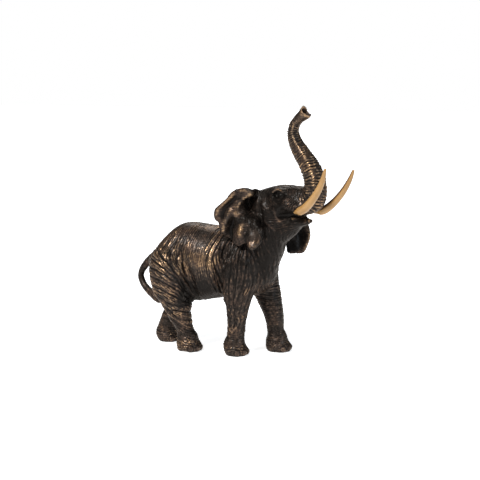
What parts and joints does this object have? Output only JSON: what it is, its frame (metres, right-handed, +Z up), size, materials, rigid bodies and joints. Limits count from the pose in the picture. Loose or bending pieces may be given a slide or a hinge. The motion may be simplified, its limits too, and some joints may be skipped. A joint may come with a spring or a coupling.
{
  "type": "resin elephant figurine",
  "caption": "Trumpeting elephant figurine in bronzed cast resin, trunk and head raised, standing on its four feet, with separately set ivory-coloured tusks",
  "frame": {"origin": "bottom centre of the whole figure's bounding box, on the surface that the feet stand on", "axes": "+X the way the elephant walks, +Y to its left, +Z up; the head is turned 25 degrees to its right"},
  "size_m": [0.2588, 0.1223, 0.2757],
  "materials": {
    "bronzed_resin": "dark brown patina with dry-brushed bronze and gold on the ridges, satin to glossy",
    "ivory_resin": "cream to golden paint, satin"
  },
  "bodies": {
    "root": {"body": "bronzed_resin", "tusk_right": "ivory_resin", "tusk_left": "ivory_resin"}
  },
  "joints": []
}
